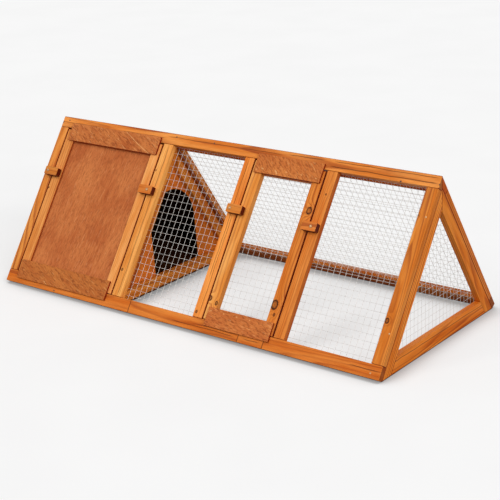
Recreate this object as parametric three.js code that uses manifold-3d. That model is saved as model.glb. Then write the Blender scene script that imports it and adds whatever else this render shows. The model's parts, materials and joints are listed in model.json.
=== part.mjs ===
// Outdoor rabbit run: an A-frame of wooden frames with wire mesh, a boarded sleeping
// area at its left end, and two lift-off doors at the front, held by turn buttons.
// Millimetres. X runs along the ridge, Y from front to back, Z up, ground at Z = 0.

import * as THREE from "three";
import { mergeGeometries, mergeVertices } from "three/addons/utils/BufferGeometryUtils.js";
import Module from "manifold-3d";

const wasm = await Module();
wasm.setup();

// ---------------------------------------------------------------- driving sizes

const LENGTH = 1180;
const SPAN = 536; // between the outer lower edges of the two sides
const SLOPE = THREE.MathUtils.degToRad(55.8);
const BOARD = 16; // thickness of every frame board
const SEAM = 0.3; // left between pieces that touch

// Widths of the boards in the two sloping sides.
const FRONT_TOP_RAIL = 30;
const BACK_TOP_RAIL = 46;
const BOTTOM_RAIL = 32.5;
const LEFT_STILE = 27.5;
const PARTITION_STILE = 30.5;
const STILE = 29;
const RIGHT_STILE = 30;

// Clear widths of the front bays from left to right; the right bay takes what is left.
const HOUSE_BAY = 346.6;
const MIDDLE_BAY = 235.7;
const DOOR_BAY = 214.4;

// End frames, one inside each end of the sides.
const END_LEG = 29;
const END_RAIL_HEIGHT = 38;

// Doors.
const HOUSE_DOOR_STILES = { left: 30.3, right: 27.6 };
const MESH_DOOR_STILE = 28.8;
const DOOR_TOP_RAIL = 33;
const DOOR_BOTTOM_RAIL = 28;
const DOOR_GAP_ABOVE = 4;
const DOOR_GAP_BELOW = 1;
const HOUSE_DOOR_GAPS = { left: 3.5, right: 3.8 };
const MESH_DOOR_GAPS = { left: 3.6, right: 4.4 };

// Cover strips over the door's rails. lap is how far a strip runs out over the side's
// own rail; left and right are from the door's edges to the strip's ends.
const STRIP_THICKNESS = 5;
const HOUSE_DOOR_STRIPS = {
  top: { lap: 13, width: 48.8, left: 15, right: 7.8 },
  bottom: { lap: 19.2, width: 51.5, left: 8, right: 11.8 },
};
const MESH_DOOR_STRIPS = {
  top: { lap: 12.7, width: 48.4, left: 7.1, right: 5.3 },
  bottom: { lap: 14.5, width: 46.8, left: 11.1, right: 3.9 },
};

// Thin sheets.
const PLY = 4;
const PANEL_RECESS = 6; // the house door's panel behind the door's face
const GROOVE_DEPTH = 8;
const GROOVE_PLAY = 1; // between a panel's edge and the groove's floor

// Wire mesh, drawn as a coarse grid with three wires' pitch to a gap.
const WIRE = 1.6;
const MESH_PITCH = 49.5;
const MESH_RISE = 52.5;
const MESH_LAP = 10; // how far a mesh or a panel runs over the board that holds it
const RIDGE_LAP = 3; // the same at the narrow inner face of the front top rail

// Turn buttons and their screws.
const BUTTON_WIDTH = 22;
const BUTTON_THICKNESS = 14;
const BUTTON_CORNER = 2.5;
const SCREW_RADIUS = 2;
const SCREW_PLAY = 0.3;
const SCREW_IN_STILE = 11;
const HEAD_RADIUS = 4;
const HEAD_HEIGHT = 2.3;
const ROUND_SEGMENTS = 24;

// Partition between the run and the sleeping area.
const BATTEN = 15; // thickness of the battens along X
const PARTITION_FOOT = 11; // height of the partition's lower edge
const BOTTOM_BATTEN_TOP = 44;
const FRONT_BATTEN_WIDTH = 15.6;
const BACK_BATTEN_DEPTH = 32.7;
const BACK_BATTEN_WIDTH = 23;
const PARTITION_INSET = 14; // the panel's run side, right of the partition stile's left edge
// The arch starts at springing; above and below it the doorway leans a little.
const DOORWAY = { front: -103, back: 70, sill: 44.5, springing: 166, top: 256, lean: 0.06 };

// Floor of the sleeping area.
const FLOOR_BATTEN_HEIGHT = 16;
const FLOOR_BATTEN_END = 24; // from the side frame to the end of a floor batten

// ---------------------------------------------------------------- derived sizes

const HALF = LENGTH / 2;
const HALF_SPAN = SPAN / 2;
const SIN = Math.sin(SLOPE);
const COS = Math.cos(SLOPE);
const EDGE_RISE = BOARD * COS; // height of a side's outer lower edge
const SIDE_HEIGHT = HALF_SPAN / COS; // length of a side's outer face up the slope
const SHEET_DEPTH = BOARD + SEAM; // where meshes and panels start behind a side's face

const stiles = {
  left: [-HALF, -HALF + LEFT_STILE],
};
stiles.partition = [stiles.left[1] + HOUSE_BAY, stiles.left[1] + HOUSE_BAY + PARTITION_STILE];
stiles.middle = [stiles.partition[1] + MIDDLE_BAY, stiles.partition[1] + MIDDLE_BAY + STILE];
stiles.bay = [stiles.middle[1] + DOOR_BAY, stiles.middle[1] + DOOR_BAY + STILE];
stiles.right = [HALF - RIGHT_STILE, HALF];

const END_FACE = HALF - BOARD; // inner faces of the end frames, at both ends
const ridgeAt = (depth) => (HALF_SPAN - SEAM / 2 - depth * SIN) / COS;
const BAY_LOW = BOTTOM_RAIL;
const BAY_HIGH = SIDE_HEIGHT - FRONT_TOP_RAIL;

// Y of a front-side plane that lies depth behind the outer face, at height z.
const frontY = (depth, z) => -HALF_SPAN + (depth + (z - EDGE_RISE) * COS) / SIN;
// Height of the same plane at y.
const frontZ = (depth, y) => EDGE_RISE + ((y + HALF_SPAN) * SIN - depth) / COS;

// ---------------------------------------------------------------- materials

const LOOKS = {
  board: { color: 0xd9823c, roughness: 0.62, metalness: 0 },
  strip: { color: 0xc8742f, roughness: 0.6, metalness: 0 },
  ply: { color: 0xb86838, roughness: 0.66, metalness: 0 },
  dark_ply: { color: 0x9a5530, roughness: 0.7, metalness: 0 },
  wire: { color: 0xa9a8a4, roughness: 0.38, metalness: 0.9 },
  screw: { color: 0xb9a98c, roughness: 0.35, metalness: 0.9 },
};

function makeMesh(name, geometry, look) {
  const mesh = new THREE.Mesh(geometry, new THREE.MeshStandardMaterial(LOOKS[look]));
  mesh.name = name;
  return mesh;
}

// ---------------------------------------------------------------- shape helpers

const axis = (x, y, z) => new THREE.Vector3(x, y, z);
// Turns a shape drawn in (Y, Z) and extruded into a solid that runs along X.
const ALONG_X = new THREE.Matrix4().makeBasis(axis(0, 1, 0), axis(0, 0, 1), axis(1, 0, 0));
// Turns a shape drawn in (Z, X) and extruded into a solid that runs along Y.
const ALONG_Y = new THREE.Matrix4().makeBasis(axis(0, 0, 1), axis(1, 0, 0), axis(0, 1, 0));

function toShape(points) {
  return new THREE.Shape(points.map(([u, v]) => new THREE.Vector2(u, v)));
}

function extrude(shape, depth) {
  return new THREE.ExtrudeGeometry(shape, { depth, bevelEnabled: false, curveSegments: 8 });
}

function box(name, look, x, y, z) {
  const geometry = new THREE.BoxGeometry(x[1] - x[0], y[1] - y[0], z[1] - z[0]);
  const mesh = makeMesh(name, geometry, look);
  mesh.position.set((x[0] + x[1]) / 2, (y[0] + y[1]) / 2, (z[0] + z[1]) / 2);
  return mesh;
}

function toManifold(geometry) {
  const bare = geometry.clone();
  bare.deleteAttribute("normal");
  bare.deleteAttribute("uv");
  const merged = mergeVertices(bare);
  return new wasm.Manifold(
    new wasm.Mesh({
      numProp: 3,
      vertProperties: new Float32Array(merged.attributes.position.array),
      triVerts: new Uint32Array(merged.index.array),
    }),
  );
}

function toGeometry(solid) {
  const { vertProperties, triVerts } = solid.getMesh();
  const shared = new THREE.BufferGeometry();
  shared.setAttribute("position", new THREE.BufferAttribute(vertProperties, 3));
  shared.setIndex(new THREE.BufferAttribute(triVerts, 1));
  const geometry = shared.toNonIndexed();
  geometry.computeVertexNormals();
  return geometry;
}

// A flat plate of the given outline with holes cut right through it.
function plate(outline, thickness, holes) {
  const solid = extrude(toShape(outline), thickness);
  if (holes.length === 0) {
    return solid;
  }
  const cutters = holes.map((hole) => {
    const cutter = extrude(toShape(hole), thickness + 2);
    return cutter.translate(0, 0, -1);
  });
  return toGeometry(toManifold(solid).subtract(toManifold(mergeGeometries(cutters))));
}

// A prism along X from x0 to x1 whose outline is drawn in (Y, Z).
function prismAlongX(name, look, outline, x0, x1, holes = []) {
  const mesh = makeMesh(name, plate(outline, x1 - x0, holes).applyMatrix4(ALONG_X), look);
  mesh.position.x = x0;
  return mesh;
}

// Keeps the part of a polygon where inside(point) is at least zero.
function clip(points, inside) {
  return points.flatMap((point, index) => {
    const next = points[(index + 1) % points.length];
    const here = inside(point);
    const there = inside(next);
    const kept = here >= 0 ? [point] : [];
    if (here >= 0 !== there >= 0) {
      const share = here / (here - there);
      kept.push([
        point[0] + (next[0] - point[0]) * share,
        point[1] + (next[1] - point[1]) * share,
      ]);
    }
    return kept;
  });
}

function areaOf(points) {
  return Math.abs(THREE.ShapeUtils.area(points.map(([x, y]) => ({ x, y }))));
}

// The gaps of a wire grid over a rectangle, each cut back to where every limit holds.
// A sliver with less area than one wire's length along a gap stays closed.
function gridGaps(x0, x1, y0, y1, limits = []) {
  const columns = Math.round((x1 - x0) / MESH_PITCH);
  const rows = Math.round((y1 - y0) / MESH_RISE);
  const pitch = (x1 - x0 - WIRE) / columns;
  const rise = (y1 - y0 - WIRE) / rows;
  const gaps = [];
  for (let column = 0; column < columns; column += 1) {
    for (let row = 0; row < rows; row += 1) {
      const left = x0 + column * pitch + WIRE;
      const low = y0 + row * rise + WIRE;
      const right = left + pitch - WIRE;
      const high = low + rise - WIRE;
      const cell = [[left, low], [right, low], [right, high], [left, high]];
      const gap = limits.reduce(clip, cell);
      if (gap.length > 2 && areaOf(gap) > WIRE * MESH_PITCH) {
        gaps.push(gap);
      }
    }
  }
  return gaps;
}

// ---------------------------------------------------------------- sloping sides

// A side is a group whose x runs along the ridge and whose y runs up the slope.
// Depth counts from the outer face into the run: -z at the front, +z at the back.
function makeSide(name, inward) {
  const side = new THREE.Group();
  side.name = name;
  side.position.set(0, inward * HALF_SPAN, EDGE_RISE);
  side.rotation.x = inward < 0 ? SLOPE : Math.PI - SLOPE;
  side.userData.inward = inward;
  return side;
}

function depthRange(side, near, far) {
  return side.userData.inward < 0 ? [-far, -near] : [near, far];
}

function slopeBoard(side, name, look, x, s, depth = [0, BOARD]) {
  const board = box(name, look, x, s, depthRange(side, ...depth));
  side.add(board);
  return board;
}

// A top rail, cut along the ridge so that the two sides meet in a mitre.
function topRail(side, name, width) {
  const z = (depth) => depth * side.userData.inward;
  const low = SIDE_HEIGHT - width;
  const outline = [
    [low, z(0)],
    [ridgeAt(0), z(0)],
    [ridgeAt(BOARD), z(BOARD)],
    [low, z(BOARD)],
  ];
  side.add(prismAlongX(name, "board", outline, -HALF, HALF));
}

// A flat sheet against the inner faces of the boards that hold it.
function slopeSheet(side, name, look, x, s, thickness, gaps = []) {
  const outline = [[x[0], s[0]], [x[1], s[0]], [x[1], s[1]], [x[0], s[1]]];
  const sheet = makeMesh(name, plate(outline, thickness, gaps), look);
  sheet.position.z = depthRange(side, SHEET_DEPTH, SHEET_DEPTH + thickness)[0];
  side.add(sheet);
}

function slopeMesh(side, name, x, s) {
  slopeSheet(side, name, "wire", x, s, WIRE, gridGaps(...x, ...s));
}

const front = makeSide("front_side", -1);
const back = makeSide("back_side", 1);

topRail(front, "front_top_rail", FRONT_TOP_RAIL);
topRail(back, "back_top_rail", BACK_TOP_RAIL);
for (const [side, label] of [[front, "front"], [back, "back"]]) {
  slopeBoard(side, `${label}_bottom_rail`, "board", [-HALF, HALF], [0, BOTTOM_RAIL - SEAM]);
}

const backBayHigh = SIDE_HEIGHT - BACK_TOP_RAIL;
for (const label of ["left", "partition", "right"]) {
  const s = [BOTTOM_RAIL, backBayHigh - SEAM];
  slopeBoard(back, `back_${label}_stile`, "board", stiles[label], s);
}

// Where a sheet over the run starts and stops along X.
const runSheetLeft = stiles.partition[1] - MESH_LAP;
const runSheetRight = END_FACE - 1;
const sheetLow = BOTTOM_RAIL - MESH_LAP;
const frontSheetHigh = BAY_HIGH + RIDGE_LAP;
const backSheetHigh = backBayHigh + MESH_LAP;

const frontSheetS = [sheetLow, frontSheetHigh];
slopeMesh(front, "front_middle_mesh", [runSheetLeft, stiles.middle[0] + MESH_LAP], frontSheetS);
slopeMesh(front, "front_right_mesh", [stiles.bay[1] - MESH_LAP, runSheetRight], frontSheetS);
slopeMesh(back, "back_mesh", [runSheetLeft, runSheetRight], [sheetLow, backSheetHigh]);

const backPanelX = [-END_FACE + SEAM, stiles.partition[0] + MESH_LAP];
slopeSheet(back, "back_panel", "ply", backPanelX, [sheetLow, backSheetHigh], PLY);

// ---------------------------------------------------------------- turn buttons

// Each button hangs on a screw in a stile, off its own centre, with the long arm over
// the door. inset is from the stile's edge at the door to the screw.
const buttons = [
  { name: "house_left", stile: "left", door: 1, inset: 4.5, arm: 34.5, length: 45.2, s: 315.6 },
  { name: "house_right", stile: "partition", door: -1, inset: 7.9, arm: 28.2, length: 43.7, s: 315 },
  { name: "mesh_left", stile: "middle", door: 1, inset: 14.8, arm: 35.1, length: 45.2, s: 309.6 },
  { name: "mesh_right", stile: "bay", door: -1, inset: 12.8, arm: 26.5, length: 41.5, s: 303.2 },
];

function pivotX({ stile, door, inset }) {
  const edge = stiles[stile][door > 0 ? 1 : 0];
  return edge - door * inset;
}

function roundPath(radius) {
  const path = new THREE.Path();
  path.absarc(0, 0, radius, 0, 2 * Math.PI, true);
  return path;
}

function buttonGeometry({ door, arm, length }) {
  const far = door * arm;
  const near = door * (arm - length);
  const [x0, x1] = [Math.min(far, near), Math.max(far, near)];
  const half = BUTTON_WIDTH / 2;
  const r = BUTTON_CORNER;
  const shape = new THREE.Shape();
  shape.absarc(x1 - r, half - r, r, 0, Math.PI / 2);
  shape.absarc(x0 + r, half - r, r, Math.PI / 2, Math.PI);
  shape.absarc(x0 + r, r - half, r, Math.PI, 1.5 * Math.PI);
  shape.absarc(x1 - r, r - half, r, 1.5 * Math.PI, 2 * Math.PI);
  shape.holes.push(roundPath(SCREW_RADIUS + SCREW_PLAY));
  return extrude(shape, BUTTON_THICKNESS);
}

// A round-headed screw along z, with the stile's face at z = 0.
function screwGeometry() {
  const headBase = BUTTON_THICKNESS + 2 * SEAM;
  const profile = [
    [0, -SCREW_IN_STILE],
    [SCREW_RADIUS * 0.4, -SCREW_IN_STILE],
    [SCREW_RADIUS, -SCREW_IN_STILE + SCREW_RADIUS],
    [SCREW_RADIUS, headBase],
    [HEAD_RADIUS, headBase],
  ];
  const steps = 4;
  for (let step = 1; step <= steps; step += 1) {
    const turn = (step / steps) * (Math.PI / 2);
    profile.push([HEAD_RADIUS * Math.cos(turn), headBase + HEAD_HEIGHT * Math.sin(turn)]);
  }
  profile[profile.length - 1][0] = 0;
  const points = profile.map(([r, z]) => new THREE.Vector2(r, z));
  return new THREE.LatheGeometry(points, ROUND_SEGMENTS).rotateX(Math.PI / 2);
}

// Cuts the screw holes of the buttons on one stile out of the stile's own box.
function drillStile(board, label) {
  for (const button of buttons.filter(({ stile }) => stile === label)) {
    const depth = SCREW_IN_STILE + SEAM;
    const bore = new THREE.CylinderGeometry(
      SCREW_RADIUS + SCREW_PLAY,
      SCREW_RADIUS + SCREW_PLAY,
      depth + 1,
      ROUND_SEGMENTS,
    );
    bore.rotateX(Math.PI / 2);
    bore.translate(
      pivotX(button) - board.position.x,
      button.s - board.position.y,
      BOARD / 2 - depth + (depth + 1) / 2,
    );
    board.geometry = toGeometry(toManifold(board.geometry).subtract(toManifold(bore)));
  }
}

for (const label of Object.keys(stiles)) {
  const name = `front_${label}_stile`;
  const board = slopeBoard(front, name, "board", stiles[label], [BAY_LOW, BAY_HIGH - SEAM]);
  drillStile(board, label);
}

for (const button of buttons) {
  const pivot = new THREE.Group();
  pivot.name = `${button.name}_pivot`;
  pivot.position.set(pivotX(button), button.s, 0);
  const block = makeMesh(`${button.name}_button`, buttonGeometry(button), "board");
  block.position.z = SEAM;
  pivot.add(block);
  pivot.add(makeMesh(`${button.name}_screw`, screwGeometry(), "screw"));
  front.add(pivot);
}

// ---------------------------------------------------------------- doors

// The outline of a board across its thickness, with a groove in the edge at width.
// It is drawn in (depth below the face, distance from the plain edge).
function groovedOutline(width, flip) {
  const grooveNear = -PANEL_RECESS + SEAM;
  const grooveFar = -PANEL_RECESS - PLY - SEAM;
  const floor = width - GROOVE_DEPTH;
  const outline = [
    [0, 0],
    [0, width],
    [grooveNear, width],
    [grooveNear, floor],
    [grooveFar, floor],
    [grooveFar, width],
    [-BOARD, width],
    [-BOARD, 0],
  ];
  return flip ? outline.map(([z, across]) => [z, width - across]) : outline;
}

function groovedStile(group, name, x, s, grooveOnLeft) {
  const shape = toShape(groovedOutline(x[1] - x[0], grooveOnLeft));
  const stile = makeMesh(name, extrude(shape, s[1] - s[0]).applyMatrix4(ALONG_Y), "board");
  stile.position.set(x[0], s[0], 0);
  group.add(stile);
}

function groovedRail(group, name, x, s, grooveBelow) {
  const across = groovedOutline(s[1] - s[0], grooveBelow);
  const outline = across.map(([z, up]) => [s[0] + up, z]);
  group.add(prismAlongX(name, "board", outline, ...x));
}

// A door's frame fills its bay but for the gaps; inner is the opening in the frame.
function makeDoor(name, bay, gaps, frame, strips) {
  const group = new THREE.Group();
  group.name = name;
  group.userData.inward = front.userData.inward;
  const x = [bay[0] + gaps.left, bay[1] - gaps.right];
  const s = [BAY_LOW + DOOR_GAP_BELOW, BAY_HIGH - DOOR_GAP_ABOVE];
  const inner = {
    x: [x[0] + frame.left, x[1] - frame.right],
    s: [s[0] + DOOR_BOTTOM_RAIL, s[1] - DOOR_TOP_RAIL],
  };
  const railX = [inner.x[0] + SEAM, inner.x[1] - SEAM];
  const outside = [-STRIP_THICKNESS - SEAM, -SEAM];
  const topHigh = BAY_HIGH + strips.top.lap;
  const bottomLow = BAY_LOW - strips.bottom.lap;
  const spans = {
    top: [topHigh - strips.top.width, topHigh],
    bottom: [bottomLow, bottomLow + strips.bottom.width],
  };
  for (const [place, strip] of Object.entries(strips)) {
    const ends = [x[0] + strip.left, x[1] - strip.right];
    slopeBoard(group, `${name}_${place}_strip`, "strip", ends, spans[place], outside);
  }
  front.add(group);
  return { group, x, s, inner, railX };
}

const houseBay = [stiles.left[1], stiles.partition[0]];
const house = makeDoor(
  "house_door",
  houseBay,
  HOUSE_DOOR_GAPS,
  HOUSE_DOOR_STILES,
  HOUSE_DOOR_STRIPS,
);
const houseLeftX = [house.x[0], house.inner.x[0]];
const houseRightX = [house.inner.x[1], house.x[1]];
const houseTopS = [house.inner.s[1], house.s[1]];
const houseBottomS = [house.s[0], house.inner.s[0]];
groovedStile(house.group, "house_door_left_stile", houseLeftX, house.s, false);
groovedStile(house.group, "house_door_right_stile", houseRightX, house.s, true);
groovedRail(house.group, "house_door_top_rail", house.railX, houseTopS, true);
groovedRail(house.group, "house_door_bottom_rail", house.railX, houseBottomS, false);

// The panel sits in the grooves all round.
const panelIn = GROOVE_DEPTH - GROOVE_PLAY;
const grown = ([low, high], by) => [low - by, high + by];
house.group.add(
  box(
    "house_door_panel",
    "ply",
    grown(house.inner.x, panelIn),
    grown(house.inner.s, panelIn),
    [-PANEL_RECESS - PLY, -PANEL_RECESS],
  ),
);

const meshDoor = makeDoor(
  "mesh_door",
  [stiles.middle[1], stiles.bay[0]],
  MESH_DOOR_GAPS,
  { left: MESH_DOOR_STILE, right: MESH_DOOR_STILE },
  MESH_DOOR_STRIPS,
);
const doorBoards = {
  left_stile: [[meshDoor.x[0], meshDoor.inner.x[0]], meshDoor.s],
  right_stile: [[meshDoor.inner.x[1], meshDoor.x[1]], meshDoor.s],
  top_rail: [meshDoor.railX, [meshDoor.inner.s[1], meshDoor.s[1]]],
  bottom_rail: [meshDoor.railX, [meshDoor.s[0], meshDoor.inner.s[0]]],
};
for (const [label, [x, s]] of Object.entries(doorBoards)) {
  slopeBoard(meshDoor.group, `mesh_door_${label}`, "board", x, s);
}
const doorMeshX = grown(meshDoor.inner.x, MESH_LAP);
slopeMesh(meshDoor.group, "mesh_door_mesh", doorMeshX, grown(meshDoor.inner.s, MESH_LAP));

// ---------------------------------------------------------------- end frames

const mirrorY = (points) => points.map(([y, z]) => [-y, z]).reverse();

// A band parallel to the front side between two depths, from height low to the ridge.
function frontBand(near, far, low) {
  const ridge = -SEAM / 2;
  return [
    [frontY(near, low), low],
    [frontY(far, low), low],
    [ridge, frontZ(far, ridge)],
    [ridge, frontZ(near, ridge)],
  ];
}

// A triangle under both sides at one depth, standing on height low.
function gable(depth, low) {
  return [
    [frontY(depth, low), low],
    [-frontY(depth, low), low],
    [0, frontZ(depth, 0)],
  ];
}

const legInner = SHEET_DEPTH + END_LEG;
const endSheetDepth = legInner - MESH_LAP;

function addEndFrame(parent, label, x0, x1) {
  const leg = frontBand(SHEET_DEPTH, legInner, 0);
  parent.add(prismAlongX(`${label}_front_leg`, "board", leg, x0, x1));
  parent.add(prismAlongX(`${label}_back_leg`, "board", mirrorY(leg), x0, x1));
  const railDepth = legInner + SEAM;
  const rail = [
    [frontY(railDepth, 0), 0],
    [-frontY(railDepth, 0), 0],
    [-frontY(railDepth, END_RAIL_HEIGHT), END_RAIL_HEIGHT],
    [frontY(railDepth, END_RAIL_HEIGHT), END_RAIL_HEIGHT],
  ];
  parent.add(prismAlongX(`${label}_cross_rail`, "board", rail, x0, x1));
}

const rightEnd = new THREE.Group();
rightEnd.name = "right_end";
addEndFrame(rightEnd, "right_end", END_FACE, HALF);
const endMeshLow = END_RAIL_HEIGHT - MESH_LAP;
const endMeshOutline = gable(endSheetDepth, endMeshLow);
const insideMesh = [
  ([y, z]) => y - frontY(endSheetDepth + WIRE, z),
  ([y, z]) => -y - frontY(endSheetDepth + WIRE, z),
];
const endGaps = gridGaps(
  endMeshOutline[0][0],
  endMeshOutline[1][0],
  endMeshLow,
  endMeshOutline[2][1],
  insideMesh,
);
const endMeshX = [END_FACE - SEAM - WIRE, END_FACE - SEAM];
rightEnd.add(prismAlongX("right_end_mesh", "wire", endMeshOutline, ...endMeshX, endGaps));

const leftEnd = new THREE.Group();
leftEnd.name = "left_end";
addEndFrame(leftEnd, "left_end", -HALF, -END_FACE);
const leftPanelX = [-END_FACE + SEAM, -END_FACE + SEAM + PLY];
const leftPanelOutline = gable(endSheetDepth, PARTITION_FOOT);
leftEnd.add(prismAlongX("left_end_panel", "dark_ply", leftPanelOutline, ...leftPanelX));

// ---------------------------------------------------------------- partition

const partition = new THREE.Group();
partition.name = "partition";
const partitionDepth = SHEET_DEPTH + WIRE + SEAM; // the meshes pass in front of it
const panelRight = stiles.partition[0] + PARTITION_INSET;
const partitionX = [panelRight - PLY, panelRight];
const battenX = [panelRight + SEAM, panelRight + BATTEN];

// An arched doorway; the front batten may cut off its front shoulder.
function doorwayOutline() {
  const { front: y0, back: y1, sill, springing, top, lean } = DOORWAY;
  const points = [[y0, sill], [y1, sill]];
  const steps = 20;
  for (let step = 0; step <= steps; step += 1) {
    const turn = (step / steps) * Math.PI;
    points.push([
      (y0 + y1) / 2 + ((y1 - y0) / 2) * Math.cos(turn),
      springing + (top - springing) * Math.sin(turn),
    ]);
  }
  const leaning = points.map(([y, z]) => [y + lean * (springing - z), z]);
  const battenEdge = partitionDepth + FRONT_BATTEN_WIDTH + 1;
  return clip(leaning, ([y, z]) => y - frontY(battenEdge, z));
}

partition.add(
  prismAlongX(
    "partition_panel",
    "ply",
    gable(partitionDepth, PARTITION_FOOT),
    ...partitionX,
    [doorwayOutline()],
  ),
);

const battenLow = BOTTOM_BATTEN_TOP + SEAM;
const frontBatten = frontBand(partitionDepth, partitionDepth + FRONT_BATTEN_WIDTH, battenLow);
const backBattenFar = BACK_BATTEN_DEPTH + BACK_BATTEN_WIDTH;
const backBatten = mirrorY(frontBand(BACK_BATTEN_DEPTH, backBattenFar, battenLow));
const bottomBatten = [
  [frontY(partitionDepth, PARTITION_FOOT), PARTITION_FOOT],
  [-frontY(BACK_BATTEN_DEPTH, PARTITION_FOOT), PARTITION_FOOT],
  [-frontY(BACK_BATTEN_DEPTH, BOTTOM_BATTEN_TOP), BOTTOM_BATTEN_TOP],
  [frontY(partitionDepth, BOTTOM_BATTEN_TOP), BOTTOM_BATTEN_TOP],
];
partition.add(prismAlongX("partition_front_batten", "board", frontBatten, ...battenX));
partition.add(prismAlongX("partition_back_batten", "board", backBatten, ...battenX));
partition.add(prismAlongX("partition_bottom_batten", "board", bottomBatten, ...battenX));

// ---------------------------------------------------------------- floor

const floor = new THREE.Group();
floor.name = "floor";
const floorLow = END_RAIL_HEIGHT + SEAM;
const floorTop = floorLow + PLY;
const floorX = [leftPanelX[1] + SEAM, partitionX[0] - SEAM];
const floorFront = frontY(SHEET_DEPTH, floorTop);
const floorBack = -frontY(SHEET_DEPTH + PLY + SEAM, floorTop);
floor.add(box("floor_panel", "dark_ply", floorX, [floorFront, floorBack], [floorLow, floorTop]));

const floorBattenY = [floorFront + FLOOR_BATTEN_END, floorBack - FLOOR_BATTEN_END];
const floorBattenZ = [END_RAIL_HEIGHT - FLOOR_BATTEN_HEIGHT, END_RAIL_HEIGHT];
const floorBattens = {
  floor_left_batten: [floorX[0], floorX[0] + BATTEN],
  floor_partition_batten: [floorX[1] - BATTEN, floorX[1]],
};
for (const [name, x] of Object.entries(floorBattens)) {
  floor.add(box(name, "board", x, floorBattenY, floorBattenZ));
}

// ---------------------------------------------------------------- whole object

const run = new THREE.Group();
run.name = "outdoor_rabbit_run";
run.add(front, back, rightEnd, leftEnd, partition, floor);

export default run;
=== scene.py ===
"""Outdoor rabbit run: stained pine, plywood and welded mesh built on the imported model."""

import json
import math
import random

import bmesh
import bpy
from mathutils import Matrix, Vector, noise
from mathutils.bvhtree import BVHTree

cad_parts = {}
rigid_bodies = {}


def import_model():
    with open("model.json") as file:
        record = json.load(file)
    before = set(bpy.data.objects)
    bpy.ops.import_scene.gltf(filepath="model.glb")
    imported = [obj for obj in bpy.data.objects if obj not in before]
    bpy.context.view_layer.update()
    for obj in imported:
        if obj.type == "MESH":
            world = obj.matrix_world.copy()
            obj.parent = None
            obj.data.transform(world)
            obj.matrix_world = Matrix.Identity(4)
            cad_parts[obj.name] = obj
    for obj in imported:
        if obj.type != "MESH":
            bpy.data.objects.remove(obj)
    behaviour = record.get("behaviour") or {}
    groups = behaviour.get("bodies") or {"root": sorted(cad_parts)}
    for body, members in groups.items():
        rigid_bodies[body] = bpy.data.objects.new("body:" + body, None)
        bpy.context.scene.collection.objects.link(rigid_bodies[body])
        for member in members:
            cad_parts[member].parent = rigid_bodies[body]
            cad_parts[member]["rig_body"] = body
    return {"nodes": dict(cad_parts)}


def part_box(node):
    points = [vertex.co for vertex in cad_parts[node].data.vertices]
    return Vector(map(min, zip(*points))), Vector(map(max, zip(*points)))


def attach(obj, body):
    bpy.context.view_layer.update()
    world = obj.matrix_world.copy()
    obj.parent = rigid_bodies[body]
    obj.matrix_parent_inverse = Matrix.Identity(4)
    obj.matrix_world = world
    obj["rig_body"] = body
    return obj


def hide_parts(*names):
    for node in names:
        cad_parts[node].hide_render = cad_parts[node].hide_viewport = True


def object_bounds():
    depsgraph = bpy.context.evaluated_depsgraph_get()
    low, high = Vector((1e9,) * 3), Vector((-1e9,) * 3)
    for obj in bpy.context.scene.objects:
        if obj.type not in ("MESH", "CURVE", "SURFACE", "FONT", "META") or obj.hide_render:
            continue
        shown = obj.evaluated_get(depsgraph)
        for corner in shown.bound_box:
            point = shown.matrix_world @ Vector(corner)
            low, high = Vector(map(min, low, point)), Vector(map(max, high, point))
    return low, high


bl_info = {
    "name": "Outdoor Rabbit Run",
    "version": (1, 0, 0),
    "blender": (4, 5, 0),
    "location": "View3D > Sidebar > Rabbit Run",
    "description": "Builds the finish of an A-frame rabbit run piece by piece",
    "category": "Object",
}

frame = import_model()
NODES = frame["nodes"]
CAD_BOUNDS = [list(corner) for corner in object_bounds()]

MM = 0.001
TINY = 1e-5

# ---------------------------------------------------------------- the run's own axes

SLOPE = math.radians(55.8)
BOARD = 16 * MM
RIDGE = Vector((1, 0, 0))
ACROSS = Vector((0, 1, 0))
UPWARD = Vector((0, 0, 1))


class Side:
    """One sloping side: x runs along the ridge, s up the slope, lift out of the face."""

    def __init__(self, toward):
        half_span = CAD_BOUNDS[1][1]
        self.origin = Vector((0, toward * half_span, BOARD * math.cos(SLOPE)))
        self.up = Vector((0, -toward * math.cos(SLOPE), math.sin(SLOPE)))
        self.out = Vector((0, toward * math.sin(SLOPE), math.cos(SLOPE)))

    def point(self, x, s, lift=0.0):
        """The point of a place given in millimetres on this side."""
        local = RIDGE * x + self.up * s + self.out * lift
        return self.origin + local * MM

    def lift_of(self, point):
        """How far a point lies outside this side's face."""
        return (point - self.origin).dot(self.out)


FRONT = Side(-1)
BACK = Side(1)


def facing(origin, right, up):
    """A plane through origin with its first two axes along right and up."""
    plane = Matrix.Identity(4)
    for column, direction in enumerate((right, up, right.cross(up))):
        plane.col[column][:3] = direction
    plane.translation = origin
    return plane


def srgb(red, green, blue):
    """Linear colour of a colour written 0 to 255."""

    def linear(value):
        share = value / 255
        return share / 12.92 if share <= 0.04045 else ((share + 0.055) / 1.055) ** 2.4

    return (linear(red), linear(green), linear(blue))


# ---------------------------------------------------------------- settings


def colour_setting(name, default, description):
    return bpy.props.FloatVectorProperty(
        name=name,
        description=description,
        subtype="COLOR",
        size=3,
        min=0,
        max=1,
        default=default,
    )


def length_setting(name, default, description):
    return bpy.props.FloatProperty(
        name=name,
        description=description,
        unit="LENGTH",
        subtype="DISTANCE",
        min=0,
        default=default,
    )


def share_setting(name, default, description):
    return bpy.props.FloatProperty(
        name=name, description=description, subtype="FACTOR", min=0, max=1, default=default
    )


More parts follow.
